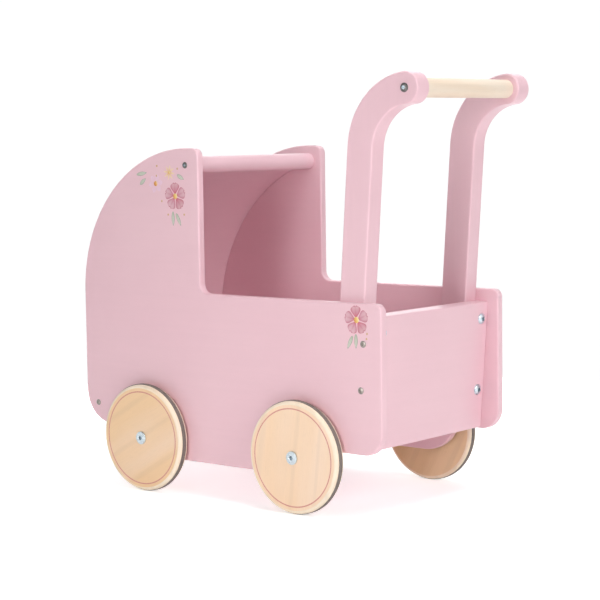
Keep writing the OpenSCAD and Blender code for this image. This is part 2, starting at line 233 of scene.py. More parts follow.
def panel_outline():
    """Tub, hood and the two lobes round the axles."""
    hood_y, hood_z = front_y + HOOD_R, hood_top - HOOD_R
    corner_y = hood_edge_y - HOOD_CORNER_R
    corner_z = hood_z + sqrt((HOOD_R - HOOD_CORNER_R) ** 2 - (corner_y - hood_y) ** 2)
    corner_a = degrees(atan2(corner_z - hood_z, corner_y - hood_y))
    lobe_mid_z = lobe_z + LOBE_R
    fillet_z = UNDER_Z - LOBE_FILLET_R
    reach = LOBE_R + LOBE_FILLET_R
    fillet_dy = sqrt(reach**2 - (lobe_mid_z - fillet_z) ** 2)
    lobe_a = degrees(atan2(fillet_z - lobe_mid_z, fillet_dy))
    rear_lobe_y = rear_axle_y + LOBE_SHIFT
    front_lobe_y = front_axle_y - LOBE_SHIFT
    return clean(
        arc(rear_lobe_y, lobe_mid_z, LOBE_R, -90, lobe_a)
        + arc(rear_lobe_y + fillet_dy, fillet_z, LOBE_FILLET_R, 180 + lobe_a, 90)
        + arc(rear_y - REAR_LOW_R, UNDER_Z + REAR_LOW_R, REAR_LOW_R, -90, 0)
        + arc(rear_y - REAR_TOP_R, tub_top - REAR_TOP_R, REAR_TOP_R, 0, 90)
        + arc(hood_edge_y + HOOD_FILLET_R, tub_top + HOOD_FILLET_R, HOOD_FILLET_R, 270, 180)
        + arc(corner_y, corner_z, HOOD_CORNER_R, 0, corner_a)
        + arc(hood_y, hood_z, HOOD_R, corner_a, 180)
        + arc(front_y + FRONT_LOW_R, UNDER_Z + FRONT_LOW_R, FRONT_LOW_R, 180, 270)
        + arc(front_lobe_y - fillet_dy, fillet_z, LOBE_FILLET_R, 90, -lobe_a)
        + arc(front_lobe_y, lobe_mid_z, LOBE_R, 180 - lobe_a, 270)
    )


def sheet_outline(play=0.0):
    """Bent sheet from the hood dowel to the front rail, or the groove that holds it with some play."""
    y = rail_y + SHEET_R
    z = dowel_z - sqrt(SHEET_R**2 - (y - dowel_y) ** 2)
    slot_floor = DOWEL_R - DOWEL_SLOT
    end = degrees(atan2(dowel_z - z, dowel_y - y) + slot_floor / SHEET_R)
    half = SHEET_T / 2 + play
    low = sheet_lo.z - play
    outer = arc(y, z, SHEET_R + half, end, 180) + [(rail_y - half, low)]
    inner = [(rail_y + half, low)] + arc(y, z, SHEET_R - half, 180, end)
    return clean(outer + inner)


def arm_outline():
    """Bent arm: straight part leaning back, bend and round end, with small corners at the foot."""
    low = arm_lo.z
    inner_r, outer_r = ARM_BEND_R - ARM_W / 2, ARM_BEND_R + ARM_W / 2
    lean, end = degrees(LEAN), degrees(ARM_END_ANGLE)
    foot_rear = arm_rear_y(low)
    foot_front = foot_rear - ARM_W / cos(LEAN)
    r = ARM_EDGE_R + 0.2 * MM
    return clean(
        arc(foot_front + r, low + r, r, 180 - lean, 270)
        + arc(foot_rear - r, low + r, r, -90, -lean)
        + arc(bend_y, bend_z, inner_r, 180 - lean, end)
        + arc(bar_at.y, bar_at.z, ARM_W / 2, end - 180, end)
        + arc(bend_y, bend_z, outer_r, end, 180 - lean)
    )


def board_outline(y0, y1, z0, z1, r):
    """Rectangle with small round corners."""
    corners = ((y0 + r, z0 + r), (y1 - r, z0 + r), (y1 - r, z1 - r), (y0 + r, z1 - r))
    starts = (180, 270, 0, 90)
    return clean([p for (y, z), start in zip(corners, starts) for p in arc(y, z, r, start, start + 90)])


def floor_outline():
    return board_outline(floor_lo.y, floor_hi.y, floor_lo.z, floor_hi.z, FLOOR_EDGE_R)


def circle(y, z, r):
    return clean(arc(y, z, r, 0, 360))


# ---------------- meshes


def put_in_scene(name, data):
    """A new object in the scene, with a mesh, a lamp or a camera."""
    obj = bpy.data.objects.new(name, data)
    bpy.context.scene.collection.objects.link(obj)
    return obj


def new_object(name, verts, faces, slots=None):
    """A mesh object with its faces turned outwards; slots gives each face's material index."""
    mesh = bpy.data.meshes.new(name)
    mesh.from_pydata([tuple(v) for v in verts], [], faces)
    if slots is not None:
        mesh.polygons.foreach_set("material_index", slots)
    bm = bmesh.new()
    bm.from_mesh(mesh)
    bmesh.ops.recalc_face_normals(bm, faces=bm.faces)
    bm.to_mesh(mesh)
    bm.free()
    return put_in_scene(name, mesh)


def quarter(r, steps=5):
    """(distance from the end face, inset) along a rounded edge, from the end face outwards."""
    angles = np.linspace(0, pi / 2, steps + 1)
    return [(r * (1 - cos(a)), r * (1 - sin(a))) for a in angles]


def plate(name, outline, x0, x1, edge_r=0.0):
    """Board with an outline in Y and Z, from x0 to x1, with its edges rounded."""
    if edge_r:
        near = [(x0 + d, i) for d, i in quarter(edge_r)]
        rings = near + [(x0 + x1 - x, i) for x, i in reversed(near)]
    else:
        rings = [(x0, 0), (x1, 0)]
    count = len(outline)
    verts, faces = [], []
    for x, i in rings:
        ring = inset(outline, i) if i else outline
        verts += [(x, y, z) for y, z in ring]
    for k in range(len(rings) - 1):
        a, b = k * count, (k + 1) * count
        for i in range(count):
            j = (i + 1) % count
            faces.append((a + i, a + j, b + j, b + i))
    faces.append(tuple(range(count - 1, -1, -1)))
    faces.append(tuple(range(len(verts) - count, len(verts))))
    return new_object(name, verts, faces)


def angles_round(count):
    return [2 * pi * i / count for i in range(count)]


def shaped_ring(places, radii):
    """Points round the X axis, each with its own x and radius."""
    angles = angles_round(len(radii))
    return [(x, r * cos(a), r * sin(a)) for x, r, a in zip(places, radii, angles)]


def ring_points(x, r, count):
    return shaped_ring([x] * count, [r] * count)


def skin(rings, closed=False):
    """Verts and faces of a surface through rings of equal count; a ring of one point is a tip."""
    verts, starts = [], []
    for ring in rings:
        starts.append(len(verts))
        verts += ring
    faces = []
    pairs = list(zip(range(len(rings)), range(1, len(rings))))
    if closed:
        pairs.append((len(rings) - 1, 0))
    for k, m in pairs:
        a, b, na, nb = starts[k], starts[m], len(rings[k]), len(rings[m])
        count = max(na, nb)
        for i in range(count):
            j = (i + 1) % count
            if na == 1:
                faces.append((a, b + j, b + i))
            elif nb == 1:
                faces.append((a + i, a + j, b))
            else:
                faces.append((a + i, a + j, b + j, b + i))
    return verts, faces


def turned(profile, count, closed=False):
    """Verts and faces of a shape turned about the X axis; profile is a list of (x, radius)."""
    return skin([ring_points(x, r, count) if r > 0 else [(x, 0, 0)] for x, r in profile], closed)


def moved(verts, matrix):
    return [tuple(matrix @ Vector(v)) for v in verts]


def turned_object(name, half, place):
    """A round piece along X with both ends alike; half is its profile at one end."""
    verts, faces = turned(half + [(-x, r) for x, r in reversed(half)], 96)
    return new_object(name, moved(verts, Matrix.Translation(place)), faces)


def cut(obj, tools):
    """Subtracts the tools from obj, all in one go, and deletes them."""
    bm = bmesh.new()
    for tool in tools:
        bm.from_mesh(tool.data)
    joined = bpy.data.meshes.new("tools")
    bm.to_mesh(joined)
    bm.free()
    tools[0].data = joined
    mod = obj.modifiers.new("cut", "BOOLEAN")
    mod.operation, mod.solver, mod.object = "DIFFERENCE", "EXACT", tools[0]
    mod.use_self = True
    bpy.context.view_layer.update()
    evaluated = obj.evaluated_get(bpy.context.evaluated_depsgraph_get())
    mesh = bpy.data.meshes.new_from_object(evaluated)
    obj.modifiers.clear()
    obj.data = mesh
    for tool in tools:
        bpy.data.objects.remove(tool)


def piece(obj, materials, body, nodes, sharp=32):
    """Finishes a piece: shading, materials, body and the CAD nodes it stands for."""
    mesh = obj.data
    for material in materials if isinstance(materials, list) else [materials]:
        mesh.materials.append(material)
    mesh.shade_smooth()
    mesh.set_sharp_from_angle(angle=radians(sharp))
    weighted = obj.modifiers.new("face_weighted_normals", "WEIGHTED_NORMAL")
    weighted.keep_sharp = True
    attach(obj, body)
    if nodes:
        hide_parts(*nodes)


def pink_piece(obj, material, node):
    """Finishes a piece of the fixed body that has pink paint."""
    piece(obj, material, "body", [node])


def pink_pair(left, material, node):
    """Finishes the left one of two pink pieces and makes the right one as its mirror image."""
    right = put_in_scene(node + "_right_wood", left.data.copy())
    right.data.transform(Matrix.Scale(-1, 4, (1, 0, 0)))
    right.data.flip_normals()
    pink_piece(left, material, node + "_left")
    pink_piece(right, material, node + "_right")


def bore(x0, x1, y, z, d):
    """Tool for a round hole along X."""
    return plate("bore", circle(y, z, d / 2), x0, x1)


def end_bores(y, z):
    """Tools for the screw holes in both ends of a piece that spans the side panels."""
    start, end = inner_x - SCREW_DEPTH, inner_x + TOOL_PAST
    return [bore(-end, -start, y, z, SCREW_D), bore(start, end, y, z, SCREW_D)]


# ---------------- materials


class Look:
    """A node material in the making; its helpers add shader nodes and return their outputs."""

    def __init__(self, name):
        self.material = bpy.data.materials.new(name)
        self.material.use_nodes = True
        self.tree = self.material.node_tree
        self.shader = self.tree.nodes["Principled BSDF"]

    def put(self, socket, value):
        """Links a node's output to the socket, or sets a plain value on it."""
        if isinstance(value, bpy.types.NodeSocket):
            self.tree.links.new(value, socket)
        else:
            socket.default_value = value

    def add(self, kind, inputs, output, **props):
        """Adds a node and returns one output; inputs maps a socket's name or number to its value."""
        made = self.tree.nodes.new("ShaderNode" + kind)
        for key, value in props.items():
            setattr(made, key, value)
        for key, value in inputs.items():
            self.put(made.inputs[key], value)
        return made.outputs[output]

    def mapped(self, scale=(1, 1, 1), rotation=(0, 0, 0), location=(0, 0, 0)):
        """Object coordinates, turned and stretched."""
        coords = self.add("TexCoord", {}, "Object")
        inputs = {"Vector": coords, "Location": location, "Rotation": rotation, "Scale": scale}
        return self.add("Mapping", inputs, "Vector")

    def noise(self, vector, scale, detail=2.0, roughness=0.5, distortion=0.0):
        inputs = {"Vector": vector, "Scale": scale, "Detail": detail}
        inputs.update({"Roughness": roughness, "Distortion": distortion})
        return self.add("TexNoise", inputs, "Fac")

    def ramp(self, factor, *stops):
        """Colour ramp from (position, colour) stops; a colour may be one number for a grey."""
        made = self.add("ValToRGB", {"Fac": factor}, "Color")
        elements = made.node.color_ramp.elements
        while len(elements) < len(stops):
            elements.new(0.5)
        for element, (position, colour) in zip(elements, stops):
            element.position = position
            rgb = (colour,) * 3 if isinstance(colour, (int, float)) else colour
            element.color = (*rgb, 1)
        return made

    def spread(self, factor, low, high):
        """Maps a factor from 0..1 to low..high."""
        return self.add("MapRange", {"Value": factor, "To Min": low, "To Max": high}, "Result")

    def times(self, a, b, share=1.0):
        """Colour a multiplied by colour b, as strongly as share says."""
        return self.add("Mix", {0: share, 6: a, 7: b}, 2, data_type="RGBA", blend_type="MULTIPLY")

    def bump(self, height, distance, strength, normal=None):
        inputs = {"Height": height, "Distance": distance, "Strength": strength}
        if normal:
            inputs["Normal"] = normal
        return self.add("Bump", inputs, "Normal")

    def finish(self, **sockets):
        """Puts node outputs or plain values on the shader's sockets, and gives the material."""
        for name, value in sockets.items():
            self.put(self.shader.inputs[name.replace("_", " ").title()], value)
        return self.material


def srgb(r, g, b):
    """Linear colour from 8-bit sRGB values."""
    shares = (r / 255, g / 255, b / 255)
    return tuple(c / 12.92 if c <= 0.04045 else ((c + 0.055) / 1.055) ** 2.4 for c in shares)


PINK = (srgb(236, 194, 204), srgb(239, 199, 208))
# Paler copy of the pink for the whole bent sheet: painted light for the inside of the hood.
SHEET_LIT_PINK = (srgb(238, 199, 209), srgb(241, 204, 213))


def pink_lacquer(name, along, tones=PINK):
    """Satin sprayed lacquer on sanded wood; along is how the faint grain under it is stretched."""
    look = Look(name)
    base = look.mapped()
    cloud = look.noise(base, 7, detail=3)
    colour = look.ramp(cloud, (0.3, tones[0]), (0.7, tones[1]))
    grain = look.noise(look.mapped(scale=along), 1, detail=5, roughness=0.65)
    shade = look.ramp(grain, (0.35, 0.985), (0.65, 1.0))
    peel = look.noise(base, 900, detail=2)
    normal = look.bump(grain, 0.05 * MM, 0.25)
    return look.finish(
        normal=look.bump(peel, 0.03 * MM, 0.3, normal),
        base_color=look.times(colour, shade),
        roughness=look.spread(look.noise(base, 60, detail=4), 0.36, 0.5),
        coat_weight=0.25,
        coat_roughness=0.2,
    )


def bare_wood(name, pale, deep, turn, offset, width=0.02, lines=0.05, axis=1):
    """Sanded pale wood under a thin matt varnish.

    The grain runs along Y (axis 1) or X (axis 0) before it is turned. Broad soft bands, about width wide,
    go from pale to deep; lines is how dark the thin year lines are.
    """

    def stretched(across, along):
        scale = [across] * 3
        scale[axis] = along
        return look.add("Mapping", {"Vector": base, "Scale": scale}, "Vector")

    look = Look(name)
    base = look.mapped(rotation=turn, location=offset)
    broad = look.noise(stretched(0.5 / width, 0.06 / width), 1, detail=1.5, distortion=0.3)
    colour = look.ramp(broad, (0.36, pale), (0.64, deep))
    bands = {"Vector": stretched(1, 0.12), "Scale": 0.16 / width, "Distortion": 6.0}
    bands.update({"Detail": 1.0, "Detail Scale": 0.7})
    wave = look.add("TexWave", bands, "Fac", wave_type="BANDS", bands_direction="Z")
    fibre = look.noise(stretched(900, 26), 1, detail=3, roughness=0.6)
    pore = look.ramp(look.noise(stretched(1500, 120), 1, detail=1), (0.3, 0.0), (0.37, 1.0))
    colour = look.times(colour, look.ramp(wave, (0.0, 1 - lines), (0.1, 1.0)))
    colour = look.times(colour, look.ramp(fibre, (0.3, 0.965), (0.7, 1.0)))
    colour = look.times(colour, look.ramp(pore, (0.0, 0.96), (1.0, 1.0)))
    normal = look.bump(fibre, 0.05 * MM, 0.3)
    normal = look.bump(pore, 0.04 * MM, 0.2, normal)
    return look.finish(base_color=colour, roughness=look.spread(fibre, 0.44, 0.6), normal=normal)


def rubber_material():
    """Matt grey-brown rubber with a dusty, slightly mottled face."""
    look = Look("rubber")
    base = look.mapped()
    mottle = look.noise(base, 120, detail=4, roughness=0.6)
    fine = look.noise(base, 2200, detail=3)
    return look.finish(
        base_color=look.ramp(mottle, (0.3, srgb(112, 102, 96)), (0.7, srgb(130, 120, 113))),
        roughness=look.spread(mottle, 0.66, 0.86),
        normal=look.bump(fine, 0.08 * MM, 0.4),
    )


def zinc_material(name, light, dark, low_rough, high_rough):
    """Zinc-plated steel with faint clouding and fine scratches."""
    look = Look(name)
    cloud = look.noise(look.mapped(), 420, detail=4)
    scratch = look.noise(look.mapped(scale=(6000, 400, 2600)), 1, detail=2)
    return look.finish(
        base_color=look.ramp(cloud, (0.3, dark), (0.7, light)),
        roughness=look.spread(cloud, low_rough, high_rough),
        normal=look.bump(scratch, 0.02 * MM, 0.25),
        metallic=1.0,
    )


def nylon_material():
    """Milky nylon of the wheels' bushes."""
    look = Look("nylon")
    base = look.mapped()
    cloud = look.noise(base, 300, detail=3)
    return look.finish(
        base_color=look.ramp(cloud, (0.3, srgb(226, 222, 212)), (0.7, srgb(238, 235, 226))),
        roughness=look.spread(cloud, 0.38, 0.52),
        normal=look.bump(look.noise(base, 2500), 0.02 * MM, 0.3),
    )


def ring_paint():
    """Thin rose paint in the wheels' ring, through which the wood shows in places."""
    look = Look("ring_paint")
    worn = look.noise(look.mapped(), 700, detail=4)
    stops = ((0.3, srgb(213, 143, 130)), (0.62, srgb(221, 159, 143)), (0.8, srgb(234, 187, 160)))
    return look.finish(
        base_color=look.ramp(worn, *stops),
        roughness=look.spread(worn, 0.45, 0.6),
        normal=look.bump(worn, 0.04 * MM, 0.4),
    )


def print_ink():
    """Printed colours, held per vertex, with the fine mottle of ink on lacquer."""
    look = Look("print_ink")
    speck = look.noise(look.mapped(), 1500, detail=3)
    colour = look.add("VertexColor", {}, "Color", layer_name="ink")
    return look.finish(
        base_color=look.times(colour, look.ramp(speck, (0.3, 0.9), (0.7, 1.04)), 0.6),
        roughness=look.spread(speck, 0.42, 0.58),
        normal=look.bump(speck, 0.02 * MM, 0.3),
    )


# ---------------- wooden pieces

pink_side = pink_lacquer("pink_lacquer_side", (160, 9, 160))
pink_across = pink_lacquer("pink_lacquer_across", (9, 160, 160))
pink_upright = pink_lacquer("pink_lacquer_upright", (160, 160, 9))
# The sheet's paler pink is painted light for the hood's inside.
pink_sheet = pink_lacquer("pink_lacquer_sheet", (9, 160, 160), SHEET_LIT_PINK)


def sheet_tool(x0, x1, play=0.0):
    return plate("sheet_tool", sheet_outline(play), x0, x1)


def build_side_panels():
    """Left panel with its grooves and bores, and the right one as its mirror image."""
    left = plate("side_panel_left_wood", panel_outline(), inner_x, outer_x, PANEL_EDGE_R)
    start, end = inner_x - THROUGH_PAST, outer_x + THROUGH_PAST
    tools = [
        sheet_tool(start, inner_x + SHEET_GROOVE, GROOVE_PLAY),
        plate("floor_tool", floor_outline(), start, floor_hi.x),
    ]
    tools += [bore(start, end, y, axle_z, AXLE_D) for y in (front_axle_y, rear_axle_y)]
    screws = [(dowel_y, dowel_z), (rail_y, rail_z)] + [(rear_mid_y(z), z) for z in SIDE_SCREW_Z]
    tools += [bore(start, end, y, z, SCREW_D) for y, z in screws]
    cut(left, tools)
    pink_pair(left, pink_side, "side_panel")


def build_cross_dowel(name, node, y, z):
    """Round cross dowel with slightly broken ends, a slot for the sheet and a screw bore in each end."""
    half, r, edge = inner_x, DOWEL_R, DOWEL_EDGE
    start = [(-half, 0), (-half, r - edge), (-half + edge, r)]
    dowel = turned_object(name, start, (0, y, z))
    cut(dowel, [sheet_tool(-half - TOOL_PAST, half + TOOL_PAST)] + end_bores(y, z))
    pink_piece(dowel, pink_across, node)


def build_sheet():
    sheet = plate("hood_sheet_ply", sheet_outline(), -sheet_hi.x, sheet_hi.x)
    pink_piece(sheet, pink_sheet, "hood_sheet")


def build_floor():
    panel = plate("floor_panel_board", floor_outline(), floor_lo.x, floor_hi.x, FLOOR_EDGE_R / 2)
    pink_piece(panel, pink_side, "floor_panel")


def rear_frame(x, z):
    """Matrix that puts the X axis along the rear panel's normal, out of its rear face at (x, z)."""
    place = Matrix.Translation((x, arm_rear_y(z) + REAR_T / cos(LEAN), z))
    return place @ Matrix.Rotation(-LEAN, 4, "X") @ Matrix.Rotation(pi / 2, 4, "Z")


def rear_bolt_tools():
    """Bores for the rear panel's bolts, through the panel into both arms."""
    tools = []
    for z in REAR_BOLT_Z:
        for x in (-rear_bolt_x, rear_bolt_x):
            tool = bore(-REAR_T - ARM_W / 2 - BOLT_D, THROUGH_PAST, 0, 0, BOLT_D)
            tool.data.transform(rear_frame(x, z))
            tools.append(tool)
    return tools


def build_rear_panel():
    """Board with bolt bores and end bores; it is cut upright and then leaned back into place."""
    height = (rear_hi.z - rear_lo.z) / cos(LEAN) - REAR_T * tan(LEAN)
    outline = board_outline(0, REAR_T, 0, height, REAR_EDGE_R + 0.3 * MM)
    board = plate("rear_panel_board", outline, -inner_x, inner_x, REAR_EDGE_R)
    low_z = rear_lo.z + REAR_T * sin(LEAN)
    place = Matrix.Translation((0, arm_rear_y(low_z), low_z)) @ Matrix.Rotation(-LEAN, 4, "X")
    tools = rear_bolt_tools()
    for z in SIDE_SCREW_Z:
        tools += end_bores(rear_mid_y(z), z)
    for tool in tools:
        tool.data.transform(place.inverted())
    cut(board, tools)
    board.data.transform(place)
    pink_piece(board, pink_across, "rear_panel")


def barrel_place(z):
    """Y and Z of a barrel nut in the arm, on the axis of the rear bolt at height z."""
    back = REAR_T + ARM_W / 2
    return arm_rear_y(z) - ARM_W / 2 * cos(LEAN), z + back * sin(LEAN)


def build_arms():
    """Left arm with its bores, and the right one as its mirror image."""
    left = plate("handle_arm_left_wood", arm_outline(), arm_lo.x, arm_hi.x, ARM_EDGE_R)
    end = arm_hi.x + TOOL_PAST
    tools = [bore(arm_lo.x - TOOL_PAST, end, bar_at.y, bar_at.z, BOLT_D)]
    barrel_x = arm_hi.x - BARREL_LEN - BARREL_INSET
    tools += [bore(barrel_x, end, *barrel_place(z), BARREL_D) for z in REAR_BOLT_Z]
    tools += rear_bolt_tools()
    cut(left, tools)
    pink_pair(left, pink_upright, "handle_arm")


def build_handle_bar():
    """Bare wooden bar with broken edges and a bolt bore in each end."""
    half, r, edge = bar_hi.x, (bar_hi.z - bar_lo.z) / 2, BAR_EDGE
    bore_end, bore_r = half - BAR_BORE, BOLT_D / 2
    end = [(bore_end, 0), (bore_end, bore_r), (half, bore_r), (half, r - edge), (half - edge, r)]
    bar = turned_object("handle_bar_wood", end, bar_at)
    pale, deep = srgb(244, 229, 211), srgb(240, 219, 196)
    wood = bare_wood("handle_wood", pale, deep, (0.3, 0, 0), (0.3, 0.1, 0.2), 0.008, 0.04, axis=0)
    piece(bar, wood, "body", ["handle_bar"])


# ---------------- wheels


def rounded_edge(r, edge_r, count):
    """(x, radius) along a rounded edge, from the end face at x = 0 out to radius r."""
    angles = np.linspace(pi / 2, 0, count)
    return [(edge_r * (1 - sin(a)), r - edge_r * (1 - cos(a))) for a in angles]


def wheel_profile():
    """Section of the wooden disc as (x, radius) from its inner face, and each step's material slot."""
    edge = rounded_edge(disc_r, WHEEL_EDGE_R, 9)
    inner = [(WHEEL_BORE_EDGE, BUSH_R), (0, BUSH_R + WHEEL_BORE_EDGE)] + edge
    groove = [(band_x0, disc_r), (band_x0, sunk_r), (band_x1, sunk_r), (band_x1, disc_r)]
    outer = [(disc_t - x, r) for x, r in reversed(edge)]
    ring_bed = disc_t - RING_DEPTH
    ring = [
        (disc_t, RING_R + RING_W / 2 + RING_SLOPE),
        (ring_bed, RING_R + RING_W / 2),
        (ring_bed, RING_R - RING_W / 2),
        (disc_t, RING_R - RING_W / 2 - RING_SLOPE),
    ]
    face = [(disc_t, r) for r in FACE_LOOP_RS]
    bore_edge = [(disc_t, BUSH_R + WHEEL_BORE_EDGE), (disc_t - WHEEL_BORE_EDGE, BUSH_R)]
    profile = inner + groove + outer + ring + face + bore_edge
    ring_start = len(inner + groove + outer)
    slots = [0] * len(profile)
    # The rounded edges on both faces take the paler edge wood, which is partly a painted highlight.
    for k in [*range(2, len(inner)), *range(ring_start - len(outer), ring_start - 1)]:
        slots[k] = EDGE_HIGHLIGHT_SLOT
    for k in range(ring_start, ring_start + 3):
        slots[k] = RING_SLOT
    return profile, slots


def wheel_part(where, kind, profile, count, slots=None):
    """A turned part of one wheel, with its origin on the axle; x = 0 is the disc's inner face."""
    axle = axles[where]
    side = Matrix.Identity(4) if where.endswith("left") else Matrix.Scale(-1, 4, (1, 0, 0))
    place = side @ Matrix.Translation((disc_lo.x, axle.y, axle.z))
    origin = Matrix.Translation((0, axle.y, axle.z))
    verts, faces = turned(profile, count, closed=True)
    placed = moved(verts, origin.inverted() @ place)
    part = new_object("wheel_" + where + "_" + kind, placed, faces, slots)
    part.matrix_world = origin
    return part


def build_wheel(where, wood):
    """Wooden disc, rubber band and bush of one wheel, on its own body."""
    body = "wheel_" + where
    profile, step_slots = wheel_profile()
    slots = [slot for slot in step_slots for _ in range(WHEEL_POINTS)]
    disc = wheel_part(where, "wood", profile, WHEEL_POINTS, slots)
    woods = [wood, ring_material, edge_highlight_wood]
    piece(disc, woods, body, ["wheel_disc_" + where], sharp=25)

    corner = rounded_edge(band_r, BAND_EDGE_R, 6)
    crown = [(band_x0 + x, r) for x, r in corner] + [(band_x1 - x, r) for x, r in reversed(corner)]
    band = wheel_part(where, "rubber", [(band_x0, sunk_r)] + crown + [(band_x1, sunk_r)], WHEEL_POINTS)
    piece(band, rubber, body, ["tread_band_" + where], sharp=40)

    t, b = disc_t, BUSH_EDGE
    bush_profile = [
        (0, BUSH_BORE_R + b), (0, BUSH_R - b), (b, BUSH_R), (t - b, BUSH_R),
        (t, BUSH_R - b), (t, BUSH_BORE_R + b), (t - b, BUSH_BORE_R), (b, BUSH_BORE_R),
    ]
    bush = wheel_part(where, "bush", bush_profile, 64)
    piece(bush, nylon, body, ["hub_bush_" + where])


# ---------------- fasteners


def hexagon(across):
    """Radius of a hexagon, across its flats, at an angle."""
    return lambda a: across / 2 / cos((a + pi / 6) % (pi / 3) - pi / 6)


def cross(length, width):
    """Radius of a cross-shaped recess at an angle."""

    def radius(a):
        phi = (a + pi / 4) % (pi / 2) - pi / 4
        if abs(tan(phi)) < width / length:
            return length / 2 / cos(phi)
        return width / 2 / abs(sin(phi))

    return radius


def screw_shape(head, shank_d, shank_len, recess):
    """Domed head on x = 0 with a recess in its top, and a shank towards -x; recess faces come first."""
    head_d, head_h, depth, rim_share = head
    head_r, shank_r = head_d / 2, shank_d / 2
    lip, rim_edge, end_edge = 0.12 * MM, 0.3 * MM, 0.6 * MM
    dome_h = head_h - rim_share * head_h
    dome_r = (head_d**2 / 4 + dome_h**2) / (2 * dome_h)

    def dome(r):
        return head_h - dome_r + sqrt(dome_r**2 - r * r)

    count = SCREW_POINTS
    opening = [recess(a) for a in angles_round(count)]
    rings = [
        [(head_h - depth * 1.15, 0, 0)],
        shaped_ring([head_h - depth] * count, [0.86 * r for r in opening]),
        shaped_ring([dome(r) - lip for r in opening], [0.9 * r for r in opening]),
        shaped_ring([dome(r) for r in opening], opening),
    ]
    round_r = max(opening) * 1.12
    for share in (0.2, 0.4, 0.6, 0.8, 1.0):
        radii = [r + (round_r - r) * share for r in opening]
        rings.append(shaped_ring([dome(r) for r in radii], radii))
    for k in range(1, 7):
        r = round_r + (head_r - 0.25 * MM - round_r) * k / 6
        rings.append(ring_points(dome(r), r, count))
    rim = dome(head_r)
    side = [(rim - lip, head_r - 0.04 * MM), (rim - rim_edge, head_r), (lip, head_r), (0, head_r - lip)]
    shank = [(0, shank_r), (end_edge - shank_len, shank_r), (-shank_len, shank_r - end_edge)]
    rings += [ring_points(x, r, count) for x, r in side + shank]
    rings.append([(-shank_len, 0, 0)])
    return skin(rings)


def both_sides(x, y, z):
    """Matrices that put a shape's X axis outwards on the left and on the right."""
    left = Matrix.Translation((x, y, z))
    right = Matrix.Translation((-x, y, z)) @ Matrix.Rotation(pi, 4, "Z")
    return left, right


def at_axles(x):
    return [m for y in (front_axle_y, rear_axle_y) for m in both_sides(x, y, axle_z)]


def build_group(node, shape, places, material, turns=(0.0,), recess_material=None):
    """One steel object with the shape at every place, each turned a little about its own axis."""
    verts, faces = [], []
    for i, place in enumerate(places):
        base = len(verts)
        verts += moved(shape[0], place @ Matrix.Rotation(turns[i % len(turns)], 4, "X"))
        faces += [tuple(base + k for k in face) for face in shape[1]]
    materials, slots = [material], None
    # The recess faces take recess_material: painted shade in most recesses, and a painted highlight in the
    # handle bar bolts' recesses.
    if recess_material:
        materials.append(recess_material)
        recess_faces = 2 * SCREW_POINTS
        slots = [int(k < recess_faces) for _ in places for k in range(len(shape[1]))]
    steel = new_object(node + "_steel", verts, faces, slots)
    piece(steel, materials, "body", [node], sharp=28)


def nut_shape():
    """Hexagonal lock nut with chamfered corners, bored, from its nylon collar at x = 0 to NUT_H."""
    count = 72
    bore_r, bore_edge = AXLE_D / 2, 0.4 * MM
    collar_r, collar_end = 6.2 * MM, 2 * MM
    chamfer_r = 6.7 * MM
    face_r = chamfer_r * 0.95
    flats = [hexagon(NUT_ACROSS)(a) for a in angles_round(count)]

    def chamfer(r):
        return max(0.0, r - chamfer_r) * tan(radians(30))

    top = [(NUT_H - bore_edge, bore_r), (NUT_H, bore_r + bore_edge), (NUT_H, face_r)]
    rings = [ring_points(x, r, count) for x, r in top]
    for share in (0.5, 1.0):
        radii = [face_r + (r - face_r) * share for r in flats]
        rings.append(shaped_ring([NUT_H - chamfer(r) for r in radii], radii))
    rings.append(shaped_ring([collar_end + chamfer(r) for r in flats], flats))
    collar = [
        (collar_end, collar_r), (0.8 * MM, collar_r), (0.25 * MM, collar_r - 0.4 * MM),
        (0, collar_r - 1.0 * MM), (0, bore_r),
    ]
    rings += [ring_points(x, r, count) for x, r in collar]
    return skin(rings, closed=True)


def washer_shape(outer_r, t):
    """Flat ring with broken outer edges, from x = 0 to t."""
    b, r = 0.2 * MM, AXLE_D / 2
    profile = [(0, r), (0, outer_r - b), (b, outer_r), (t - b, outer_r), (t, outer_r - b), (t, r)]
    return turned(profile, 64, closed=True)


def barrel_shape():
    """Barrel nut along X with broken edges and a shallow dish in its far end."""
    r, b, n = BARREL_D / 2, 0.4 * MM, BARREL_LEN
    dish = n - 1 * MM
    profile = [(0, 0), (0, r - b), (b, r), (n - b, r), (n, r - b), (n, 2 * MM), (dish, 1.4 * MM), (dish, 0)]
    return turned(profile, 64)


